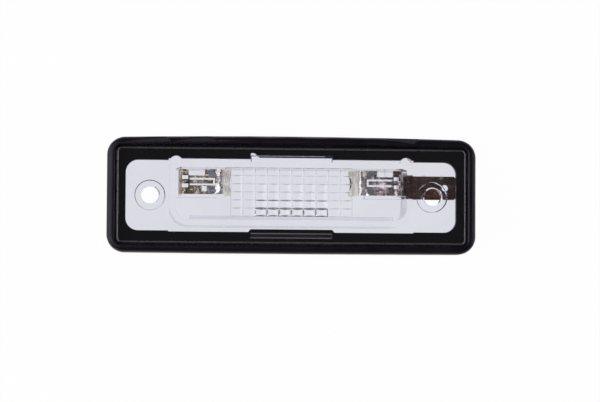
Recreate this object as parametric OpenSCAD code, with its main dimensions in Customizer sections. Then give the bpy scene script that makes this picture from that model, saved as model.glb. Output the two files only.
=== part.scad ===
// Number plate lamp: a clear moulded lens with an open-backed lamp chamber, set in a
// black rubber gasket, with two riveted sheet-metal contacts for a tubular bulb.
// The body panel is the plane z = 0, and +Z points out through the lens.
// The origin lies midway between the two screw holes.

/* [Lens plate] */
// Length of the lens plate
lens_l = 92.8; // [90:0.2:98]
// Width of the lens plate
lens_w = 25.5; // [25.1:0.1:30]
// Thickness of the lens plate
lens_t = 2; // [1.6:0.1:3]
// Corner radius of the lens plate, seen from the front
lens_corner_r = 1.4; // [1.2:0.1:2.4]
// Rounding of the front edge of the lens plate
lens_edge_r = 0.6; // [0.3:0.1:1]

/* [Screw holes] */
// Distance between the two screw holes
screw_pitch = 75; // [74:0.5:78]
// Diameter of a screw hole
screw_hole_d = 4.6; // [4:0.1:5]
// Outer diameter of the boss behind a screw hole
boss_d = 8.1; // [7.4:0.1:8.4]
// Bevel round the rear end of a boss
boss_bevel = 0.18; // [0.1:0.02:0.5]
// Reach of the gussets beside a boss
gusset_l = 2.3; // [1.5:0.1:2.4]
// Width of the bevel at the front of a screw hole
hole_bevel = 0.35; // [0.2:0.05:0.6]

/* [Gasket] */
// Thickness of the rubber flange under the lens plate
flange_t = 2; // [1.6:0.1:3]
// Reach of the gasket beyond the edge of the lens plate
rim_reach = 2.45; // [2:0.05:3.5]
// Height of the bead above the front face of the lens plate
bead_rise = 1.7; // [0.8:0.1:3]
// Rounding of the bead on its outer side
bead_outer_r = 1.5; // [0.6:0.1:1.6]
// Rounding of the bead on its inner side
bead_inner_r = 0.45; // [0.2:0.05:0.5]
// Free gap between the edge of the lens plate and the bead
bead_gap = 0.3; // [0.2:0.05:0.4]
// Bulge of the upper long side at its middle
crown_top = 0.5; // [0.2:0.05:0.6]
// Bulge of the lower long side at its middle
crown_bottom = 0.12; // [0.1:0.02:0.6]
// Length of the window in the flange
window_l = 87.8; // [86:0.2:88.4]
// Width of the window in the flange at its ends
window_w = 18.7; // [17.6:0.1:19]
// Corner radius of the window
window_r = 3.3; // [2:0.1:4]
// Reach of the flange's tab into the window, below the chamber
tab_reach = 0.75; // [0.3:0.05:0.9]
// Height of the relief in the flange at the left end of the upper tongue
relief_h = 1.6; // [1:0.1:1.8]

/* [Lamp chamber] */
// Outer length of the chamber
chamber_l = 64.6; // [64:0.1:65.4]
// Height of the chamber's upper face above the line of the screws
chamber_top = 9.1; // [8.9:0.1:9.4]
// Depth of the chamber's lower face below the line of the screws
chamber_bottom = 7.9; // [7.6:0.1:8.4]
// Reach of the chamber behind the body panel
chamber_depth = 13; // [12.6:0.1:16]
// Wall thickness of the chamber
chamber_wall = 1.6; // [1.2:0.1:1.6]
// Radius of the chamber's lower corners
chamber_r = 5.2; // [4:0.1:6]
// Diameter of the two posts at the chamber's upper corners
post_d = 3.2; // [2.6:0.1:3.2]
// Reach of the posts behind the lens plate
post_len = 6; // [4:0.5:10]

/* [Optics] */
// Width of one pillow of the optics
pillow_w = 3.23; // [3:0.01:3.23]
// Number of pillows along the lens
pillow_columns = 10; // [8:1:10]
// Number of rows of pillows
pillow_rows = 6; // [5:1:6]
// Number of columns of strongly curved pillows, at the middle
strong_columns = 6; // [2:2:8]
// Number of rows of strongly curved pillows, from the bottom up
strong_rows = 4; // [2:1:5]
// Sphere radius of the pillows outside that block
pillow_r_flat = 12; // [8:0.5:16]
// Sphere radius in the upper row of the block
pillow_r_first = 6; // [4:0.1:8]
// Sphere radius in the lower row of the block
pillow_r_last = 2.6; // [2.5:0.1:4]
// Groove between neighbouring pillows, at its floor
pillow_gap = 0.06; // [0.04:0.01:0.2]
// Least height of a pillow above the plate
pillow_base = 0.1; // [0.05:0.01:0.3]
// Slope of a pillow's four sides, from square to the plate
pillow_draft = 20; // [12:1:30]
// Depth of one light step above the chamber's lower wall
step_h = 0.7; // [0.4:0.1:1]
// Width of one light step
step_w = 0.33; // [0.24:0.01:0.36]
// Width of the sloped riser of a light step
step_slope = 0.15; // [0.1:0.01:0.2]
// Number of light steps
step_count = 3; // [2:1:3]

/* [Tongues] */
// Length of the two tongues that key the gasket to the lens
tongue_l = 21.7; // [16:0.1:26]
// Height of the upper tongue's edge above the line of the screws
tongue_top = 10.7; // [10.5:0.05:11.6]
// Depth of the lower tongue's edge below the line of the screws
tongue_bottom = 11.2; // [11:0.1:11.8]
// Width of the lower tongue
tongue_w = 1.35; // [1:0.05:1.6]
// Thickness of the tongues
tongue_t = 1; // [0.6:0.1:1.2]
// Bevel along the rear edges of the tongues
tongue_bevel = 0.2; // [0.1:0.05:0.3]

/* [Contacts] */
// Height of the bulb's axis above the line of the screws
bulb_y = 3.8; // [3.7:0.1:3.9]
// Width of the contact strips and the springs
strip_w = 6.6; // [6.3:0.1:6.8]
// Thickness of the contact strips and terminals
strip_t = 0.8; // [0.6:0.1:1]
// Gap between the lens plate and the contact strips
strip_drop = 2.6; // [2:0.1:3]
// Length of a strip's flat part, with its fold
strip_l = 10.6; // [10.2:0.1:10.8]
// Gap between a strip's fold and the chamber's end wall
strip_gap = 0.9; // [0.8:0.05:1.2]
// Length of the notch in a strip's upper edge
notch_l = 4.3; // [3:0.1:4.4]
// Depth of the notch in a strip's upper edge
notch_w = 1.7; // [1:0.1:1.8]
// Inner radius of the folds in the strips
fold_r = 0.5; // [0.3:0.1:0.7]
// Width of a push-on terminal
blade_w = 6.3; // [5.8:0.1:6.4]
// Distance from the end of the lens plate back to the sideways terminal's tip
tip_inset = 0.8; // [0.4:0.1:3]
// Depth of the sideways terminal behind the body panel
blade_drop = 9; // [6:0.1:9.6]
// Offset of the sideways terminal below the bulb's axis
blade_offset = 0.7; // [0.3:0.1:0.8]
// Depth of the rearward terminal's tip behind the body panel
earth_tip = 12.5; // [11:0.1:12.5]
// Diameter of the hole in a terminal
blade_hole_d = 1.8; // [1.2:0.1:2.2]
// Bevel at the corners of a terminal's tip
blade_bevel = 0.9; // [0.5:0.1:1.4]

/* [Locking lance] */
// Length of the lance cut in a strip
lance_l = 6.2; // [5:0.1:6.4]
// Width of the lance
lance_w = 1; // [0.7:0.1:1.2]
// Width of the cut round the lance
lance_cut = 0.5; // [0.3:0.05:0.55]
// Distance from a strip's fold to the root of the lance
lance_inset = 2.85; // [2.8:0.05:3.1]

/* [Bulb springs] */
// Thickness of the springs
spring_t = 0.4; // [0.3:0.05:0.5]
// Overlap of a spring's foot on its strip
foot_lap = 3; // [2.6:0.1:3.2]
// Slope of a spring's leaf, from the plane of the lens
leaf_angle = 68; // [62:1:72]
// Length of the leaf from its foot to its knee
leaf_run = 6; // [5:0.1:6.4]
// Turn of the knee
knee_turn = 37; // [20:1:45]
// Inner radius of the knee
knee_r = 1; // [0.6:0.1:1.4]
// Length of the flared end of the leaf
flare_run = 4.5; // [3:0.1:4.6]
// Diameter of the hole that takes the bulb's end
bulb_hole_d = 3.6; // [3:0.1:4.4]
// Diameter of a rivet's shank
rivet_d = 1; // [0.8:0.05:1.2]
// Diameter of a rivet's head
rivet_head_d = 1.8; // [1.5:0.1:2]
// Height of a rivet's head
rivet_head_h = 0.4; // [0.3:0.05:0.5]

/* [Hidden] */

$fn = 64;
eps = 0.01;           // overlap that joins parts of one moulding
bow_lap = 0.1;        // overlap of a bowed side with the corners at its ends
bow_grow = 0.012;     // how much fuller the bowed sides are, as in the mould
fold_steps = 12;      // flats along each fold of a sheet
fit = 0.1;            // clearance round the lugs in their windows
seat_gap = 0.2;       // clearance between the rubber and the moulding beside it

plate_back = flange_t;
plate_front = flange_t + lens_t;
bead_top = plate_front + bead_rise;
corner_x = lens_l / 2 - lens_corner_r;
corner_y = lens_w / 2 - lens_corner_r;

window_top = chamber_top + 0.7;         // room for the chamber's upper face
window_step = 0.4;    // further height of the window above the upper tongue
window_bottom = chamber_bottom + 1.7;   // room for the chamber's lower face
beside_gap = 0.3;     // clearance between the chamber's ends and the window's steps
slant = 0.6;          // run of the slanted ends of the flange's tab
relief_flat = 1;      // width of the relief at its top
relief_run = 1.4;     // run of its slanted side

strip_front = plate_back - strip_drop;
strip_back = strip_front - strip_t;
strip_low = bulb_y - strip_w / 2;
inner_x = chamber_l / 2 - chamber_wall;
inner_top = chamber_top - chamber_wall;
floor_thin = 0.1;     // how much thinner the chamber's lower wall is
inner_bottom = chamber_bottom - chamber_wall + floor_thin;
strip_outer = inner_x - strip_gap;      // outer face of a strip's fold
strip_inner = strip_outer - strip_l;    // inner end of a strip
lance_root = strip_outer - lance_inset;
blade_tip = lens_l / 2 - tip_inset;
hole_inset = 3.4;     // distance from a terminal's tip to the middle of its hole
shoulder = 3;         // length of the sideways terminal at the strip's full width
blade_lap = 0.3;      // overlap of the sideways terminal with its fold
notch_lead = 3.75;
notch_x = strip_inner + notch_lead;     // inner end of the notch
strip_flat = strip_outer - strip_t - fold_r;   // outer end of a strip's flat part

post_inset = [1.7, 0.35];
post_x = chamber_l / 2 - post_inset.x;
post_y = chamber_top - post_inset.y;

gusset_angles = [27, 65, 112];
gusset_t = 0.4;
gusset_h = 1;

rail_t = 0.8;
rail_lead = 0.3;      // distance from the inner end of a strip to its rail
rail_hold = 0.6;      // reach of the rail behind a strip
rail_top = strip_low - seat_gap;
rib_t = 0.5;
rib_lead = 3.8;
rib_pitch = 2.2;
rib_x = [strip_inner + rib_lead, strip_inner + rib_lead + rib_pitch];

lug_inset = 1.45;
lug_spread = 1.1;
lug_x = strip_outer - lug_inset;
lug_y = [bulb_y - lug_spread, bulb_y + lug_spread];
lug_size = [1.9, 1];
lug_foot = [2.6, 1.7];
lug_head_h = 0.5;
lug_head_lap = 0.17;
stud_lead = 3.95;
stud_drop = 1.95;
stud_x = strip_inner + stud_lead;       // third lug of the left strip, beside its lance
stud_y = bulb_y - stud_drop;
stud_size = [1.3, 1.4];

rivet_x = strip_inner + foot_lap / 2 + 0.4;
rivet_edge = 1.05;    // distance from a rivet to the edge of its strip
rivet_y = [strip_low + rivet_edge, strip_low + strip_w - rivet_edge];
prong_clear = 0.2;    // clearance between a spring's prongs and the cut round the lance
prong_gap = lance_w + 2 * lance_cut + 2 * prong_clear;
prong_root = 0.5;     // length of a spring's foot before it forks
spring_lead = 0.4;    // reach of a spring's foot past its strip, up to the fold

pillow_l = pillow_columns * pillow_w;
optics_low = -inner_bottom + step_count * step_w;
pillow_h = (inner_top - optics_low) / pillow_rows;

// Copies of the children at x and at -x
module both_ends() {
    for (side = [0, 1]) mirror([side, 0, 0]) children();
}

// Rectangle with one radius at its corners
module round_rect(l, w, r) {
    square([l - 2 * r, w], center = true);
    square([l, w - 2 * r], center = true);
    for (x = [-1, 1], y = [-1, 1])
        translate([x * (l / 2 - r), y * (w / 2 - r)]) circle(r);
}

// Square notch that leaves a round corner of radius r at the origin, towards -x and -y
module corner_cut(r) {
    difference() {
        translate([-r, -r]) square(2 * r);
        translate([-r, -r]) circle(r);
    }
}

// Profile stood up so that its y is the part's z, drawn along y over a length
module run_along_y(length) {
    translate([0, length / 2, 0]) rotate([90, 0, 0]) linear_extrude(length) children();
}

// Border of a round-cornered plate: the children are its section, with x = 0 on the corner's axis
module border() {
    both_ends() {
        translate([corner_x, 0, 0]) run_along_y(2 * corner_y) children();
        for (y = [0, 1]) mirror([0, y, 0])
            translate([corner_x, corner_y, 0]) rotate_extrude(angle = 90) children();
    }
    for (side = [90, 270]) rotate([0, 0, side])
        translate([corner_y, 0, 0]) run_along_y(2 * corner_x) children();
}

// Bowed long side of the bead: up is 1 for the upper side and -1 for the lower
module bow(rise, up) {
    big_r = (corner_x * corner_x + rise * rise) / (2 * rise);
    turn = 2 * atan(rise / corner_x) + asin(bow_lap / big_r);
    translate([0, up * (corner_y + rise), 0]) translate([0, -up * big_r, 0])
        rotate([0, 0, up * 90 - turn])
        rotate_extrude(angle = 2 * turn, $fn = 3000) translate([big_r, 0]) children();
}

// Quarter turn of the bead about the corner at x, y: both are 1 or -1
module bead_corner(x, y, start) {
    translate([x * corner_x, y * corner_y, 0]) rotate([0, 0, start])
        rotate_extrude(angle = 90) bead_section();
}

// Section of the bead, with x measured from the axis of the plate's corner
module bead_section(grown = 0) {
    inner = lens_corner_r + bead_gap - grown;
    outer = lens_corner_r + rim_reach + grown;
    difference() {
        translate([inner, 0]) square([outer - inner, bead_top + grown]);
        translate([outer, bead_top + grown]) corner_cut(bead_outer_r);
        translate([inner, bead_top + grown]) mirror([1, 0]) corner_cut(bead_inner_r);
    }
}

// Opening in the rubber flange, with steps beside the chamber and notches for the posts
module window_outline() {
    beside = chamber_l / 2 + beside_gap;
    half = tongue_l / 2;
    relief_top = window_top + relief_h;
    difference() {
        union() {
            round_rect(window_l, window_w, window_r);
            translate([-beside, -window_bottom]) square([2 * beside, window_top + window_bottom]);
        }
        polygon([[-half - slant, -window_bottom - eps], [-half, tab_reach - window_bottom],
                 [half, tab_reach - window_bottom], [half + slant, -window_bottom - eps]]);
    }
    both_ends() translate([post_x, post_y]) circle(d = post_d + 2 * seat_gap);
    translate([-half, 0]) square([tongue_l, window_top + window_step]);
    polygon([[-half, 0], [-half, relief_top], [relief_flat - half, relief_top],
             [relief_flat + relief_run - half, window_top + window_step],
             [relief_flat + relief_run - half, 0]]);
}

module gasket() color([0.09, 0.09, 0.11]) {
    flange_grow = bead_gap + crown_top + 0.5;
    difference() {
        union() {
            linear_extrude(flange_t)
                round_rect(lens_l + 2 * flange_grow, lens_w + 2 * flange_grow,
                           lens_corner_r + flange_grow);
            bow(crown_top, 1) bead_section(bow_grow);
            bow(crown_bottom, -1) bead_section(bow_grow);
            bead_corner(1, 1, 0);
            bead_corner(-1, 1, 90);
            bead_corner(-1, -1, 180);
            bead_corner(1, -1, 270);
            for (end = [0, 180]) rotate([0, 0, end])
                translate([corner_x, 0, 0]) run_along_y(2 * corner_y) bead_section();
        }
        translate([0, 0, -1]) linear_extrude(flange_t + 2) window_outline();
        pocket_l = tongue_l + 2 * seat_gap;
        pocket_floor = flange_t - tongue_t - 0.1;
        translate([-pocket_l / 2, 0, pocket_floor])
            cube([pocket_l, tongue_top + seat_gap, flange_t]);
        translate([-pocket_l / 2, -tongue_bottom - seat_gap, pocket_floor])
            cube([pocket_l, tongue_w + 2 * seat_gap, flange_t]);
    }
}

// Plate with its front edge rounded, without its holes
module lens_plate() {
    translate([0, 0, plate_back]) {
        border() difference() {
            square([lens_corner_r, lens_t]);
            translate([lens_corner_r, lens_t]) corner_cut(lens_edge_r);
        }
        translate([-corner_x, -corner_y, 0]) cube([2 * corner_x, 2 * corner_y, lens_t]);
    }
}

// Outline of the chamber, grown or shrunk by a distance at its ends, top and bottom
module chamber_outline(half_l, top, bottom, r) {
    translate([-half_l, -bottom + r]) square([2 * half_l, top + bottom - r]);
    translate([-half_l + r, -bottom]) square([2 * half_l - 2 * r, top + bottom]);
    for (x = [-1, 1]) translate([x * (half_l - r), -bottom + r]) circle(r);
}

module chamber_walls() {
    translate([0, 0, -chamber_depth]) linear_extrude(chamber_depth + plate_back + eps)
        difference() {
            chamber_outline(chamber_l / 2, chamber_top, chamber_bottom, chamber_r);
            chamber_outline(inner_x, inner_top, inner_bottom, chamber_r - chamber_wall);
        }
    both_ends() translate([post_x, post_y, plate_back - post_len])
        cylinder(h = post_len + eps, d = post_d);
}

// Side view of a block that stands behind the plane z = 0 and narrows by a run over its last rise
function block_side(half, h, run, rise, lift) =
    [[-half, lift], [-half, rise - h], [run - half, -h], [half - run, -h], [half, rise - h], [half, lift]];

// Block behind the plane z = 0 that narrows on all four sides, with its front at a lift
module narrowing_block(l, w, h, run, rise, lift) {
    intersection() {
        rotate([90, 0, 0]) linear_extrude(2 * w, center = true)
            polygon(block_side(l / 2, h, run, rise, lift));
        rotate([90, 0, 90]) linear_extrude(2 * l, center = true)
            polygon(block_side(w / 2, h, run, rise, lift));
    }
}

// One pillow: the cap of a sphere with four sloped sides, standing behind the plate
module pillow(sphere_r) {
    cap = sphere_r - sqrt(sphere_r * sphere_r - pow(pillow_w / 2, 2) - pow(pillow_h / 2, 2));
    rise = cap + pillow_base;
    intersection() {
        narrowing_block(pillow_w - pillow_gap, pillow_h - pillow_gap, rise + eps,
                        rise * tan(pillow_draft), rise, 0.3);
        translate([0, 0, sphere_r - rise]) rotate([90, 0, 0]) sphere(sphere_r);
    }
}

// Sphere radius of a pillow: small in the block at the middle, where it shrinks from row to row
function pillow_r(row, column) =
    let (edge = (pillow_columns - strong_columns) / 2,
         depth = row - pillow_rows + strong_rows)
    depth < 0 || column < edge || column >= pillow_columns - edge ? pillow_r_flat
        : pillow_r_first + depth / (strong_rows - 1) * (pillow_r_last - pillow_r_first);

module optics() {
    for (row = [0 : pillow_rows - 1], column = [0 : pillow_columns - 1])
        translate([(column + 0.5) * pillow_w - pillow_l / 2,
                   inner_top - (row + 0.5) * pillow_h, plate_back])
            pillow(pillow_r(row, column));
}

// Stair of narrow steps with sloped risers, between the plate and the chamber's lower wall
module light_steps() {
    length = chamber_l - 2 * chamber_r;
    profile = [for (i = [1 : step_count]) each
        [[i * step_w - step_slope, (i - step_count - 1) * step_h], [i * step_w, (i - step_count) * step_h]]];
    translate([-length / 2, -inner_bottom, plate_back]) rotate([90, 0, 90]) linear_extrude(length)
        polygon(concat([[-eps, eps], [-eps, -step_count * step_h]], profile, [[step_count * step_w, eps]]));
}

// Clear lug that passes through a window in a strip and holds it with its head.
// The head reaches outwards as far as the strip is flat behind it.
module lug(foot, size, head_reach) {
    head_w = size.y + 2 * lug_head_lap;
    translate([-foot.x / 2, -foot.y / 2, strip_front]) cube([foot.x, foot.y, strip_drop + eps]);
    translate([0, 0, strip_back + strip_t / 2])
        cube([size.x, size.y, strip_t + 2 * eps], center = true);
    translate([-size.x / 2 - lug_head_lap, -head_w / 2, strip_back - lug_head_h])
        cube([size.x / 2 + lug_head_lap + head_reach, head_w, lug_head_h]);
}

// Ribs, rail and lugs that carry one contact strip
module strip_seat() {
    for (x = rib_x)
        translate([x - rib_t / 2, rail_top - rail_t, strip_front + fit / 2])
            cube([rib_t, inner_top - rail_top + rail_t + eps, strip_drop - fit / 2 + eps]);
    translate([strip_inner + rail_lead, rail_top - rail_t, strip_back - rail_hold])
        cube([inner_x - strip_inner - rail_lead + eps, rail_t, strip_drop + strip_t + rail_hold + eps]);
    for (y = lug_y) translate([lug_x, y, 0]) lug(lug_foot, lug_size, strip_flat - lug_x);
}

// Boss behind a screw hole, with its gussets
module screw_boss() {
    cylinder(h = boss_bevel, d1 = boss_d - 2 * boss_bevel, d2 = boss_d);
    translate([0, 0, boss_bevel]) cylinder(h = plate_back - boss_bevel + eps, d = boss_d);
    for (turn = gusset_angles) rotate([0, 0, turn])
        translate([boss_d / 2 - boss_bevel, -gusset_t / 2, plate_back - gusset_h])
            cube([gusset_l + boss_bevel, gusset_t, gusset_h + eps]);
}

// Tongue behind the plate from one height to another, with its rear edges bevelled
module tongue(low, high) {
    translate([0, (low + high) / 2, plate_back])
        narrowing_block(tongue_l, high - low, tongue_t, tongue_bevel, tongue_bevel, eps);
}

module lens() color([0.85, 0.87, 0.92, 0.5]) difference() {
    union() {
        lens_plate();
        both_ends() translate([screw_pitch / 2, 0, 0]) screw_boss();
        chamber_walls();
        optics();
        light_steps();
        both_ends() strip_seat();
        translate([-stud_x, stud_y, 0]) lug(stud_size, stud_size, stud_size.x / 2 + lug_head_lap);
        tongue(chamber_top - 0.5, tongue_top);
        tongue(-tongue_bottom, tongue_w - tongue_bottom);
    }
    both_ends() translate([screw_pitch / 2, 0, 0]) {
        translate([0, 0, -1]) cylinder(h = plate_front + 2, d = screw_hole_d);
        translate([0, 0, plate_front - hole_bevel])
            cylinder(h = hole_bevel + eps, d1 = screw_hole_d,
                     d2 = screw_hole_d + 2 * hole_bevel + 2 * eps);
    }
    translate([inner_x - 1, bulb_y - blade_offset - blade_w / 2 - seat_gap,
               -blade_drop - strip_t - seat_gap])
        cube([chamber_wall + 2, blade_w + 2 * seat_gap, strip_t + 2 * seat_gap]);
}

// Unit vector square to a heading, to its left
function leftward(heading) = [-sin(heading), cos(heading)];

// Points along one face of a folded sheet, at an offset from its middle line.
// Each step is a straight run, then a turn in degrees with an inner radius.
function face_points(t, steps, offset, p = [0, 0], heading = 0, i = 0) =
    i == len(steps) ? [] :
    let (turn = steps[i][1], side = turn > 0 ? 1 : -1, mid_r = steps[i][2] + t / 2,
         q = p + steps[i][0] * [cos(heading), sin(heading)],
         centre = q + side * mid_r * leftward(heading),
         arc_r = offset - side * mid_r,
         next = turn == 0 ? q : centre - side * mid_r * leftward(heading + turn))
    concat([p + offset * leftward(heading)],
           [if (turn == 0) q + offset * leftward(heading)],
           [if (turn != 0) for (k = [0 : fold_steps - 1])
               centre + arc_r * leftward(heading + turn * k / fold_steps)],
           face_points(t, steps, offset, next, heading + turn, i + 1));

function reversed(list) = [for (i = [len(list) - 1 : -1 : 0]) list[i]];

// Folded sheet stood on edge, with its width along y from low to low + width
module sheet_band(t, steps, low, width) {
    translate([0, low + width, t / 2]) rotate([90, 0, 0]) linear_extrude(width)
        polygon(concat(face_points(t, steps, t / 2), reversed(face_points(t, steps, -t / 2))));
}

// Cuts through a strip: the slot round its lance, and the windows for the lugs
module strip_cuts() {
    cut_w = lance_w + 2 * lance_cut;
    linear_extrude(6 * strip_t, center = true) {
        difference() {
            translate([lance_root - lance_l - lance_cut, bulb_y - cut_w / 2])
                square([lance_l + lance_cut, cut_w]);
            translate([lance_root - lance_l, bulb_y - lance_w / 2])
                square([lance_l + 1, lance_w]);
        }
        for (y = lug_y) translate([lug_x, y]) square(lug_size + [fit, fit], center = true);
        translate([notch_x, strip_low + strip_w - notch_w]) square([notch_l, notch_w + 1]);
        for (y = rivet_y) translate([rivet_x, y]) circle(d = rivet_d + fit / 2);
    }
}

// Bevelled corners at the tip of a terminal that points along +x from the origin
module tip_cuts(width) {
    for (side = [-1, 1]) translate([0, side * width / 2]) rotate(45)
        square(blade_bevel * sqrt(2), center = true);
}

module feed_terminal() color([0.42, 0.36, 0.3]) {
    drop = strip_back + blade_drop - 2 * fold_r;
    blade_y = bulb_y - blade_offset;
    blade_start = strip_outer - strip_t;
    difference() {
        union() {
            translate([strip_inner, 0, strip_back])
                sheet_band(strip_t, [[strip_flat - strip_inner, -90, fold_r],
                                     [drop + strip_t, 90, fold_r],
                                     [blade_lap, 0, 0]], strip_low, strip_w);
            translate([strip_outer + fold_r, blade_y - blade_w / 2, -blade_drop - strip_t])
                cube([blade_tip - strip_outer - fold_r, blade_w, strip_t]);
        }
        translate([0, 0, strip_front - strip_t / 2]) strip_cuts();
        translate([blade_tip, blade_y, -blade_drop - 2 * strip_t]) linear_extrude(3 * strip_t)
            tip_cuts(blade_w);
        translate([blade_tip - hole_inset, blade_y, -blade_drop - 2 * strip_t])
            cylinder(h = 3 * strip_t, d = blade_hole_d);
        translate([blade_start + shoulder, blade_y + blade_w / 2, -blade_drop - 2 * strip_t])
            cube([blade_tip - blade_start, strip_w, 3 * strip_t]);
    }
}

module earth_terminal() color([0.62, 0.55, 0.42]) mirror([1, 0, 0]) {
    drop = earth_tip + strip_back - fold_r;
    difference() {
        translate([strip_inner, 0, strip_back])
            sheet_band(strip_t, [[strip_flat - strip_inner, -90, fold_r], [drop, 0, 0]],
                       strip_low, strip_w);
        translate([0, 0, strip_front - strip_t / 2]) strip_cuts();
        translate([stud_x, stud_y, strip_front - strip_t / 2]) linear_extrude(6 * strip_t, center = true)
            square(stud_size + [fit, fit], center = true);
        translate([strip_outer - 2 * strip_t, bulb_y, -earth_tip]) rotate([0, 90, 0])
            linear_extrude(3 * strip_t) tip_cuts(strip_w);
        translate([strip_outer - 2 * strip_t, bulb_y, -earth_tip + hole_inset]) rotate([0, 90, 0])
            cylinder(h = 3 * strip_t, d = blade_hole_d);
    }
}

// Spring at the right end: a forked foot on the strip, and a leaf that bows towards the bulb
module bulb_spring() {
    bend = strip_inner - spring_lead;
    difference() {
        translate([strip_inner + foot_lap, 0, strip_front]) mirror([1, 0, 0])
            sheet_band(spring_t, [[strip_inner + foot_lap - bend, -leaf_angle, fold_r],
                                  [leaf_run, -knee_turn, knee_r],
                                  [flare_run, 0, 0]], strip_low, strip_w);
        translate([strip_inner + prong_root, bulb_y - prong_gap / 2, strip_front - 1])
            cube([foot_lap, prong_gap, 3]);
        for (y = rivet_y) translate([rivet_x, y, strip_front - 1])
            cylinder(h = 3, d = rivet_d + fit / 2);
        translate([strip_inner - 6, bulb_y, spring_hole_z()]) rotate([0, 90, 0])
            cylinder(h = 6, d = bulb_hole_d);
    }
}

// Height of the knee of a spring, where the bulb's end sits
function spring_hole_z() =
    strip_front - fold_r + fold_r * cos(leaf_angle) - leaf_run * sin(leaf_angle)
    - knee_r * (cos(leaf_angle) - cos(leaf_angle + knee_turn / 2));

module spring_right() color([0.72, 0.71, 0.66]) bulb_spring();

module spring_left() color([0.72, 0.71, 0.66]) mirror([1, 0, 0]) bulb_spring();

// Rivet with its preformed head in front of the spring's foot and its closed head behind the strip
module rivet() {
    stack = strip_t + spring_t;
    translate([0, 0, strip_back - rivet_head_h]) cylinder(h = rivet_head_h, d = rivet_head_d);
    translate([0, 0, strip_back - eps]) cylinder(h = stack + 2 * eps, d = rivet_d);
    translate([0, 0, strip_back + stack]) cylinder(h = rivet_head_h, d = rivet_head_d);
}

module contact_rivets() color([0.75, 0.72, 0.66])
    both_ends() for (y = rivet_y) translate([rivet_x, y, 0]) rivet();

gasket();
lens();
feed_terminal();
earth_terminal();
spring_left();
spring_right();
contact_rivets();
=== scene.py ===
"""Number plate lamp: clear moulded lens in a black rubber gasket, seen from the front."""
import math

import bmesh
import bpy
from mathutils import Matrix, Vector


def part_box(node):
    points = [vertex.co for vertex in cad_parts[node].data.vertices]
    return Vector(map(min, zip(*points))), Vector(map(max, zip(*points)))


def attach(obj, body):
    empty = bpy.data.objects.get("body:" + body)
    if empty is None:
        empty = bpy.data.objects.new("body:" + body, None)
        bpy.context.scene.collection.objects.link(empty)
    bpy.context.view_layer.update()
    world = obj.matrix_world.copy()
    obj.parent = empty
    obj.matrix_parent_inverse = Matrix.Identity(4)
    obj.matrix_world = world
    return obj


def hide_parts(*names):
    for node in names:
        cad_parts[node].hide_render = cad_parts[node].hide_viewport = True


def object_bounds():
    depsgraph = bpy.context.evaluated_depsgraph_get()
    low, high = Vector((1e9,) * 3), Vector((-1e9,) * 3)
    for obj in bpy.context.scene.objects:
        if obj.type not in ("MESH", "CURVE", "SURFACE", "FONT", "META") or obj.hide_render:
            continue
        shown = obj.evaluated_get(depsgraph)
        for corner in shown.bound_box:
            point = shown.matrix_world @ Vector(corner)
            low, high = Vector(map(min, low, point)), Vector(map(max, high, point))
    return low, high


MM = 0.001

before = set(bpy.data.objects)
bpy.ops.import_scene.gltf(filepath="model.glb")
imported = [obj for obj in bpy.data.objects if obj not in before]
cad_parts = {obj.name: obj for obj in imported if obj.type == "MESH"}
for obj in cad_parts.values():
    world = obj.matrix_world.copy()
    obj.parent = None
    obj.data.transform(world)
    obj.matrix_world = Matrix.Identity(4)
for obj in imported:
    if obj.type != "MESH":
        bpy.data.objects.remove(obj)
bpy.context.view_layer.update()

# Camera: a long lens that looks almost straight at the front of the lamp.
CAMERA_DISTANCE = 0.65      # metres from the lens plate
CAMERA_LEFT = 3.6           # degrees that the camera stands to the left of square
CAMERA_BELOW = 3.0          # degrees that it stands below square
CAMERA_ROLL = 0.35          # degrees that the lamp's right end hangs low
SENSOR_W = 36.0             # mm
FRAME_W, FRAME_H = 600, 402
PIXELS_PER_MM = 3.78        # at the lens plate
CENTRE_PX = (291.9, 195.9)  # where the middle of the lamp falls
CAMERA_AIM = (0, 0, 0.004)  # the point that it looks at, in metres
CAMERA_NEAR, CAMERA_FAR = 0.01, 10.0    # nearest and furthest that it sees, in metres

FLOOR_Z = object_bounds()[0][2]
FLOOR_GAP = 0.0001          # keeps the floor clear of the chamber's rear edges
FLOOR_HALF = 1.5            # half its side
FLOOR_GLOW = 0.97           # share of its white that is glow, so that the shadow on it stays faint

# Sizes in metres of what is refined on the lens and on the gasket.
MERGE = 0.0000005                       # points of a CAD mesh nearer than this are one
LEVEL = 0.000002                        # a point this near to a face lies in it
CAP_CLEAR = 0.00008                     # a point of a pillow's cap stands at least this far out
PLATE_REAR = 0.002                      # the lens plate's rear face
PILLOWS_X, PILLOWS_Y = 0.0165, 0.0085   # half sizes of the area that the pillow optics cover
PILLOW_H = 0.0012                       # most that a pillow stands out
GROOVE_W = 0.0004                       # wider than a groove between two pillows
GROOVE_FILL = 0.00009                   # how far a groove's floor is raised, to refract more softly
RIM_W, RIM_DEPTH = 0.0009, 0.0009       # the rounded front edge of the lens plate
RIM_SLOPE = (0.05, 0.995)               # a face of that edge leans between these
CORNER = (0.045, 0.01135)               # centre of a corner of the gasket
CORNER_R, ROUND_R = 0.00385, 0.0047     # radius of its outline in the CAD, and the photograph's rounder one
BEAD_INNER_R = 0.0027                   # nothing inside this reach moves
ROUND_CUTS = 3                          # cuts that let the straight sides bend where they meet the corner
CUT_SNAP = 0.000001                     # a cut this near to a point goes through it

# Which edges are shaded round.
FLAT_ANGLE = math.radians(0.03)         # faces that turn by less are one flat patch
SMOOTH_ANGLE = math.radians(28)         # faces that turn by more meet in a corner

# Past the end of its contact strip the feed terminal's blade is painted dark brown: a painted dark reflection
# of the room on the camera's side, and painted shade.
DARK_REFLECTION_FROM = 0.0302
DARK_REFLECTION_BLEND = 0.0006
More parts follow.
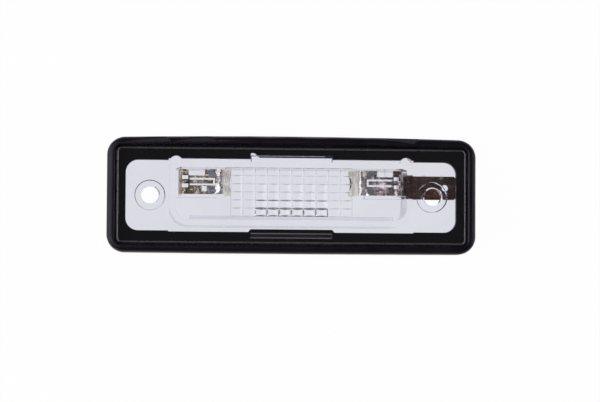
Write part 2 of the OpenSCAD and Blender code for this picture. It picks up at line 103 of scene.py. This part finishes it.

# Sizes of the patterns, in millimetres, set within what such surfaces have. One pixel of the render
# is 0.26 mm, and a pattern that is finer than that on a real part is drawn coarser, as its comment says.
FLOW_WAVE = 11.1        # slow waves in the acrylic
SCUFF = 1.11            # patches of scuffs: single scuffs, of some 0.05 mm, would be too fine to show
BLOOM_PATCH = 6.25      # patches of bloom on the rubber
MOULD_GRAIN = 0.286     # such grain is some 0.05 mm, and is drawn a pixel coarse so that it shows
LINE_LENGTH = 5.0       # rolling lines along the strip
LINE_WIDTH = 0.167      # such lines are some 0.02 mm wide, and are drawn wider so that they show
TARNISH_PATCH = 2.38    # patches of tarnish
DENT = 3.03             # shallow dents in the contact strips

# The room: strength of its light round the sides and overhead, and the heights between which it changes.
ROOM_SIDES, ROOM_ABOVE = 0.34, 0.19
ROOM_LOW, ROOM_HIGH = 0.3, 0.95

# Soft panels: name, place and size in metres, and power in watts.
PANELS = (
    ("left_panel", (-0.75, 0.0, 0.6), (1.1, 1.6), 14.0),
    ("right_panel", (0.95, 0.0, 0.3), (0.5, 1.2), 2.6),
)


def linear(hex_colour):
    """An sRGB hex colour as linear RGBA."""
    parts = [int(hex_colour[i:i + 2], 16) / 255 for i in (1, 3, 5)]
    return [c / 12.92 if c <= 0.04045 else ((c + 0.055) / 1.055) ** 2.4 for c in parts] + [1.0]


def node(tree, kind, settings=None, inputs=None, links=None, stops=()):
    """Adds a node with its settings, its socket values, the sockets that feed it and its ramp's colours."""
    made = tree.nodes.new(kind)
    for name, value in (settings or {}).items():
        setattr(made, name, value)
    for name, value in (inputs or {}).items():
        made.inputs[name].default_value = value
    for name, source in (links or {}).items():
        tree.links.new(source, made.inputs[name])
    for index, (position, colour) in enumerate(stops):
        made.color_ramp.elements[index].position = position
        made.color_ramp.elements[index].color = colour
    return made


def new_material(name):
    """An empty node material with its output node."""
    material = bpy.data.materials.new(name)
    material.use_nodes = True
    material.node_tree.nodes.clear()
    return material, material.node_tree, material.node_tree.nodes.new("ShaderNodeOutputMaterial")


def per_size(size_mm):
    """The scale at which a noise has features of this size, in millimetres."""
    return 1 / (size_mm * MM)


def clear_acrylic(name, rough_low=0.02, rough_high=0.06, clear=1.0):
    """Injection-moulded clear acrylic: polished faces, a faint blue-grey body and slow flow waves. Where it
    is less than clear, as round its rim, it is frosted and scatters some light, a painted highlight that
    stands in for light carried out at the plate's edge."""
    material, tree, out = new_material(name)
    place = node(tree, "ShaderNodeTexCoord").outputs["Object"]
    waves = node(tree, "ShaderNodeTexNoise", inputs={"Scale": per_size(FLOW_WAVE), "Detail": 2.0},
                 links={"Vector": place})
    tint = node(tree, "ShaderNodeValToRGB", links={"Fac": waves.outputs["Fac"]},
                stops=[(0.3, linear("#E0E0EA")), (0.7, linear("#E4E4ED"))])
    scuffs = node(tree, "ShaderNodeTexNoise", inputs={"Scale": per_size(SCUFF), "Detail": 3.0},
                  links={"Vector": place})
    rough = node(tree, "ShaderNodeMapRange",
                 inputs={"From Min": 0.3, "From Max": 0.8, "To Min": rough_low, "To Max": rough_high},
                 links={"Value": scuffs.outputs["Fac"]})
    bump = node(tree, "ShaderNodeBump", inputs={"Strength": 0.06, "Distance": 0.0002},
                links={"Height": waves.outputs["Fac"]})
    body = node(tree, "ShaderNodeBsdfPrincipled",
                inputs={"IOR": 1.49, "Transmission Weight": clear},
                links={"Base Color": tint.outputs["Color"], "Roughness": rough.outputs["Result"],
                       "Normal": bump.outputs["Normal"]})
    # Shadow rays pass straight through, so that light reaches the chamber behind the lens.
    path = node(tree, "ShaderNodeLightPath")
    passing = node(tree, "ShaderNodeBsdfTransparent", inputs={"Color": linear("#EEF0F5")})
    mix = node(tree, "ShaderNodeMixShader",
               links={"Fac": path.outputs["Is Shadow Ray"], 1: body.outputs["BSDF"],
                      2: passing.outputs["BSDF"]})
    tree.links.new(mix.outputs["Shader"], out.inputs["Surface"])
    return material


def moulded_rubber():
    """Black EPDM from a polished mould: a soft broad sheen, with fine bloom in patches."""
    material, tree, out = new_material("moulded_epdm_rubber")
    place = node(tree, "ShaderNodeTexCoord").outputs["Object"]
    bloom = node(tree, "ShaderNodeTexNoise",
                 inputs={"Scale": per_size(BLOOM_PATCH), "Detail": 5.0, "Roughness": 0.6},
                 links={"Vector": place})
    colour = node(tree, "ShaderNodeValToRGB", links={"Fac": bloom.outputs["Fac"]},
                  stops=[(0.3, linear("#040205")), (0.75, linear("#0A070B"))])
    rough = node(tree, "ShaderNodeMapRange",
                 inputs={"From Min": 0.3, "From Max": 0.7, "To Min": 0.3, "To Max": 0.42},
                 links={"Value": bloom.outputs["Fac"]})
    grain = node(tree, "ShaderNodeTexNoise", inputs={"Scale": per_size(MOULD_GRAIN), "Detail": 2.0},
                 links={"Vector": place})
    bump = node(tree, "ShaderNodeBump", inputs={"Strength": 0.12, "Distance": 0.00005},
                links={"Height": grain.outputs["Fac"]})
    # The violet specular tint is a painted reflection colour: it stands in for the tint of the room that the
    # rubber mirrors.
    body = node(tree, "ShaderNodeBsdfPrincipled", inputs={"IOR": 1.34, "Specular Tint": linear("#E6DEF8")},
                links={"Base Color": colour.outputs["Color"], "Roughness": rough.outputs["Result"],
                       "Normal": bump.outputs["Normal"]})
    tree.links.new(body.outputs["BSDF"], out.inputs["Surface"])
    return material


def rolled_strip(name, pale, dark, rough_low, rough_high, dents=0.0, blade_reflection=None):
    """Rolled strip metal: fine lines along the rolling direction, and darker tarnish in patches. Stamping and
    handling leave shallow dents a few millimetres across, so that parts of it catch the light. With the
    blade's two colours given, it is painted an even dark brown past the end of its contact strip: a painted
    dark reflection of the room on the camera's side, and painted shade."""
    material, tree, out = new_material(name)
    place = node(tree, "ShaderNodeTexCoord").outputs["Object"]
    stretch = node(tree, "ShaderNodeMapping",
                   inputs={"Scale": (per_size(LINE_LENGTH), per_size(LINE_WIDTH), per_size(LINE_WIDTH))},
                   links={"Vector": place})
    lines = node(tree, "ShaderNodeTexNoise", inputs={"Scale": 1.0, "Detail": 3.0},
                 links={"Vector": stretch.outputs["Vector"]})
    tarnish = node(tree, "ShaderNodeTexNoise", inputs={"Scale": per_size(TARNISH_PATCH), "Detail": 4.0},
                   links={"Vector": place})
    colour = node(tree, "ShaderNodeValToRGB", links={"Fac": tarnish.outputs["Fac"]},
                  stops=[(0.35, linear(dark)), (0.65, linear(pale))]).outputs["Color"]
    rough = node(tree, "ShaderNodeMapRange",
                 inputs={"From Min": 0.3, "From Max": 0.7, "To Min": rough_low, "To Max": rough_high},
                 links={"Value": lines.outputs["Fac"]})
    normal = {}
    if dents:
        hollows = node(tree, "ShaderNodeTexNoise", inputs={"Scale": per_size(DENT), "Detail": 1.0},
                       links={"Vector": place})
        height = hollows.outputs["Fac"]
        if blade_reflection:
            # Past the contact strip the blade is painted dark brown: a painted dark reflection and painted
            # shade.
            along = node(tree, "ShaderNodeSeparateXYZ", links={"Vector": place})
            outside = node(tree, "ShaderNodeMapRange",
                           inputs={"From Min": DARK_REFLECTION_FROM, "From Max": DARK_REFLECTION_FROM + DARK_REFLECTION_BLEND},
                           links={"Value": along.outputs["X"]})
            painted_dark_reflection = node(tree, "ShaderNodeValToRGB", links={"Fac": tarnish.outputs["Fac"]},
                         stops=[(0.35, linear(blade_reflection[1])), (0.65, linear(blade_reflection[0]))])
            # Sockets 6 and 7 are a colour mix's A and B, and socket 2 is a number mix's A.
            colour = node(tree, "ShaderNodeMix", {"data_type": "RGBA"},
                          links={"Factor": outside.outputs["Result"], 6: colour,
                                 7: painted_dark_reflection.outputs["Color"]}).outputs[2]
            height = node(tree, "ShaderNodeMix", inputs={"B": 0.5},
                          links={"Factor": outside.outputs["Result"], 2: height}).outputs[0]
        dented = node(tree, "ShaderNodeBump", inputs={"Strength": 1.0, "Distance": dents},
                      links={"Height": height})
        normal = {"Normal": dented.outputs["Normal"]}
    bump = node(tree, "ShaderNodeBump", inputs={"Strength": 0.1, "Distance": 0.00003},
                links={"Height": lines.outputs["Fac"], **normal})
    body = node(tree, "ShaderNodeBsdfPrincipled", inputs={"Metallic": 1.0},
                links={"Base Color": colour, "Roughness": rough.outputs["Result"],
                       "Normal": bump.outputs["Normal"]})
    tree.links.new(body.outputs["BSDF"], out.inputs["Surface"])
    return material


def flat_patches(bm):
    """The flat patch that each face is part of, and the patches' areas."""
    bm.faces.index_update()
    patch_of, areas = {}, []
    for seed in bm.faces:
        if seed.index in patch_of:
            continue
        patch_of[seed.index] = len(areas)
        queue, area = [seed], 0.0
        while queue:
            face = queue.pop()
            area += face.calc_area()
            for edge in face.edges:
                if len(edge.link_faces) == 2 and edge.calc_face_angle() < FLAT_ANGLE:
                    for other in edge.link_faces:
                        if other.index not in patch_of:
                            patch_of[other.index] = len(areas)
                            queue.append(other)
        areas.append(area)
    return patch_of, areas


def fill_grooves(bm):
    """Raises the floor of the narrow grooves between the pillow optics, apart from the grid's own outline."""
    feet = [v for v in bm.verts if abs(v.co.x) < PILLOWS_X and abs(v.co.y) < PILLOWS_Y
            and abs(v.co.z - PLATE_REAR) < LEVEL]
    caps = [v for v in bm.verts if abs(v.co.x) < PILLOWS_X and abs(v.co.y) < PILLOWS_Y
            and PLATE_REAR - PILLOW_H < v.co.z < PLATE_REAR - CAP_CLEAR]
    low = [min(v.co[axis] for v in caps) + GROOVE_W for axis in (0, 1)]
    high = [max(v.co[axis] for v in caps) - GROOVE_W for axis in (0, 1)]
    for foot in feet:
        if all(low[axis] < foot.co[axis] < high[axis] for axis in (0, 1)):
            foot.co.z -= GROOVE_FILL


def on_rim(face, low, high):
    """True for a face of the rounded front edge that runs round the lens plate."""
    centre = face.calc_center_median()
    inset = min(centre.x - low.x, high.x - centre.x, centre.y - low.y, high.y - centre.y)
    leans = RIM_SLOPE[0] < abs(face.normal.z) < RIM_SLOPE[1]
    return inset < RIM_W and centre.z > high.z - RIM_DEPTH and leans


def round_corners(bm):
    """Lets the outside of the gasket's four corners follow a larger circle, as in the photograph."""
    shift = ROUND_R - CORNER_R
    for axis in (0, 1):
        for step in range(ROUND_CUTS + 1):
            for side in (-1, 1):
                point, way = Vector(), Vector()
                point[axis] = side * (CORNER[axis] - shift * step / ROUND_CUTS)
                way[axis] = 1.0
                bmesh.ops.bisect_plane(bm, geom=bm.verts[:] + bm.edges[:] + bm.faces[:], dist=CUT_SNAP,
                                       plane_co=point, plane_no=way)
    for vertex in bm.verts:
        dx, dy = abs(vertex.co.x) - CORNER[0] + shift, abs(vertex.co.y) - CORNER[1] + shift
        reach = math.hypot(dx, dy)
        if dx <= 0 or dy <= 0 or reach < BEAD_INNER_R:
            continue
        # The old outline's distance from the larger circle's centre, in this direction. Near the sides it is
        # straight, and between them it is the smaller circle.
        if ROUND_R * min(dx, dy) < shift * max(dx, dy):
            old = ROUND_R * reach / max(dx, dy)
        else:
            along = shift * (dx + dy) / reach
            old = along + math.sqrt(along ** 2 - 2 * shift ** 2 + CORNER_R ** 2)
        share = min((reach - BEAD_INNER_R) / (old - BEAD_INNER_R), 1.0)
        scale = 1 - share * (1 - ROUND_R / old)
        vertex.co.x = math.copysign(CORNER[0] - shift + dx * scale, vertex.co.x)
        vertex.co.y = math.copysign(CORNER[1] - shift + dy * scale, vertex.co.y)


def smooth_copy(name, likeness):
    """A copy of a CAD node that stands for it. An edge is shaded round only between two strips of one curved
    surface, which turn by less than a corner and whose areas differ by less than likeness, so that every flat
    face stays optically flat. The lens has its grooves filled in part, and the gasket its corners rounded."""
    bm = bmesh.new()
    bm.from_mesh(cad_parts[name].data)
    bmesh.ops.remove_doubles(bm, verts=bm.verts, dist=MERGE)
    if name == "lens":
        fill_grooves(bm)
    if name == "gasket":
        round_corners(bm)
    patch_of, areas = flat_patches(bm)
    for edge in bm.edges:
        pair = [areas[patch_of[face.index]] for face in edge.link_faces]
        edge.smooth = (len(pair) == 2 and edge.calc_face_angle() < SMOOTH_ANGLE
                       and max(pair) < likeness * min(pair))
    low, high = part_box(name)
    low, high = Vector(low), Vector(high)
    for face in bm.faces:
        face.smooth = True
        if name == "lens" and on_rim(face, low, high):
            face.material_index = 2 if abs(face.calc_center_median().x) > high.x - RIM_W else 1
    mesh = bpy.data.meshes.new(name + "_surface")
    bm.to_mesh(mesh)
    bm.free()
    piece = bpy.data.objects.new(name + "_surface", mesh)
    bpy.context.scene.collection.objects.link(piece)
    return piece


tinned = rolled_strip("tinned_spring_bronze", "#F8F6EC", "#C2B9A6", 0.22, 0.34, dents=0.0011)
# The feed terminal's blade is painted dark brown, a painted dark reflection and painted shade.
bronze = rolled_strip("bronze_strip_tarnish_and_painted_reflection", "#DED0C4", "#9A8880", 0.2, 0.34, dents=0.0016,
                      blade_reflection=("#8A6A5A", "#5E463C"))
brass = rolled_strip("dull_brass_strip", "#DED3B8", "#9A8A68", 0.2, 0.34, dents=0.0016)
rivet_metal = rolled_strip("drawn_aluminium_rivet", "#C9C8C5", "#A8A6A2", 0.25, 0.4)
# The lens is clear, with a lightly frosted rim on its long sides and a cloudier one at its ends: the frosting
# is a painted highlight along the plate's edge, made brighter at the ends.
acrylics = [clear_acrylic("moulded_clear_acrylic"),
            clear_acrylic("frosted_acrylic_rim_highlight", 0.25, 0.4, 0.9),
            clear_acrylic("frosted_acrylic_ends_highlight", 0.25, 0.4, 0.62)]
# Each CAD node's material slot, its materials, and how unlike in area two strips of a curve may be.
FINISHES = {
    "gasket": ("gasket_rubber", [moulded_rubber()], 50.0),
    "lens": ("clear_plastic", acrylics, 5.0),
    "feed_terminal": ("bronze_strip", [bronze], 5.0),
    "earth_terminal": ("brass_strip", [brass], 5.0),
    "spring_left": ("tinned_spring", [tinned], 5.0),
    "spring_right": ("tinned_spring", [tinned], 5.0),
    "contact_rivets": ("rivet_metal", [rivet_metal], 5.0),
}
for name, (slot, materials, likeness) in FINISHES.items():
    piece = smooth_copy(name, likeness)
    for material in materials:
        piece.data.materials.append(material)
    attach(piece, "root")
    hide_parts(name)


def floor():
    """A pale floor that stays white to the eye and still takes the lamp's soft shadow."""
    bm = bmesh.new()
    bmesh.ops.create_grid(bm, x_segments=1, y_segments=1, size=FLOOR_HALF)
    mesh = bpy.data.meshes.new("floor")
    bm.to_mesh(mesh)
    bm.free()
    for vertex in mesh.vertices:
        vertex.co.z = FLOOR_Z - FLOOR_GAP
    made = bpy.data.objects.new("floor", mesh)
    bpy.context.scene.collection.objects.link(made)
    material, tree, out = new_material("white_paper_sweep")
    diffuse = node(tree, "ShaderNodeBsdfDiffuse", inputs={"Color": linear("#F4F4F4")})
    glow = node(tree, "ShaderNodeEmission", inputs={"Color": linear("#FFFFFF"), "Strength": 1.0})
    both = node(tree, "ShaderNodeMixShader", inputs={"Fac": FLOOR_GLOW},
                links={1: diffuse.outputs["BSDF"], 2: glow.outputs["Emission"]})
    # The glow is there for the eye, for what is seen through the lens and for what is mirrored.
    path = node(tree, "ShaderNodeLightPath")
    seen = node(tree, "ShaderNodeMath", {"operation": "MAXIMUM"},
                links={0: path.outputs["Is Camera Ray"], 1: path.outputs["Is Transmission Ray"]})
    seen_or_mirrored = node(tree, "ShaderNodeMath", {"operation": "MAXIMUM"},
                            links={0: seen.outputs["Value"], 1: path.outputs["Is Glossy Ray"]})
    mix = node(tree, "ShaderNodeMixShader",
               links={"Fac": seen_or_mirrored.outputs["Value"], 1: diffuse.outputs["BSDF"],
                      2: both.outputs["Shader"]})
    tree.links.new(mix.outputs["Shader"], out.inputs["Surface"])
    mesh.materials.append(material)


def softbox(name, place, size, power):
    """A rectangular area light that faces the lamp."""
    light = bpy.data.lights.new(name, "AREA")
    light.shape = "RECTANGLE"
    light.size, light.size_y = size
    light.energy = power
    made = bpy.data.objects.new(name, light)
    made.location = place
    made.rotation_euler = (-Vector(place)).to_track_quat("-Z", "Y").to_euler()
    bpy.context.scene.collection.objects.link(made)


def studio():
    """The floor, the two panels, and a pale room that the camera sees as white."""
    floor()
    for panel in PANELS:
        softbox(*panel)
    world = bpy.data.worlds.new("studio")
    world.use_nodes = True
    tree = world.node_tree
    tree.nodes.clear()
    out = tree.nodes.new("ShaderNodeOutputWorld")
    # The room is brighter round its sides than overhead, where the camera stands.
    way = node(tree, "ShaderNodeTexCoord").outputs["Generated"]
    height = node(tree, "ShaderNodeSeparateXYZ", links={"Vector": way}).outputs["Z"]
    strength = node(tree, "ShaderNodeMapRange", {"interpolation_type": "SMOOTHSTEP"},
                    {"From Min": ROOM_LOW, "From Max": ROOM_HIGH, "To Min": ROOM_SIDES, "To Max": ROOM_ABOVE},
                    {"Value": height})
    sky = node(tree, "ShaderNodeBackground", inputs={"Color": linear("#F3EEF6")},
               links={"Strength": strength.outputs["Result"]})
    white = node(tree, "ShaderNodeBackground", inputs={"Color": linear("#FFFFFF"), "Strength": 1.0})
    path = node(tree, "ShaderNodeLightPath")
    mix = node(tree, "ShaderNodeMixShader",
               links={"Fac": path.outputs["Is Camera Ray"], 1: sky.outputs["Background"],
                      2: white.outputs["Background"]})
    tree.links.new(mix.outputs["Shader"], out.inputs["Surface"])
    bpy.context.scene.world = world


def camera():
    """Stands above the lens as in the photograph, with the lamp's +Y up in the picture."""
    data = bpy.data.cameras.new("photo_camera")
    data.sensor_width = SENSOR_W
    data.lens = SENSOR_W * PIXELS_PER_MM * CAMERA_DISTANCE / MM / FRAME_W
    data.shift_x = (FRAME_W / 2 - CENTRE_PX[0]) / FRAME_W
    data.shift_y = -(FRAME_H / 2 - CENTRE_PX[1]) / FRAME_W
    data.clip_start, data.clip_end = CAMERA_NEAR, CAMERA_FAR
    made = bpy.data.objects.new("photo_camera", data)
    left, below = math.radians(CAMERA_LEFT), math.radians(CAMERA_BELOW)
    towards = Vector((-math.sin(left) * math.cos(below), -math.sin(below),
                      math.cos(left) * math.cos(below)))
    aim = Vector(CAMERA_AIM)
    right = Vector((math.cos(left), 0, math.sin(left)))
    up = towards.cross(right)
    roll = math.radians(CAMERA_ROLL)
    turned_right = right * math.cos(roll) + up * math.sin(roll)
    turned_up = towards.cross(turned_right)
    made.matrix_world = Matrix((
        (turned_right.x, turned_up.x, towards.x, aim.x + towards.x * CAMERA_DISTANCE),
        (turned_right.y, turned_up.y, towards.y, aim.y + towards.y * CAMERA_DISTANCE),
        (turned_right.z, turned_up.z, towards.z, aim.z + towards.z * CAMERA_DISTANCE),
        (0, 0, 0, 1)))
    bpy.context.scene.collection.objects.link(made)
    bpy.context.scene.camera = made


studio()
camera()
bpy.context.scene.view_settings.view_transform = "Standard"
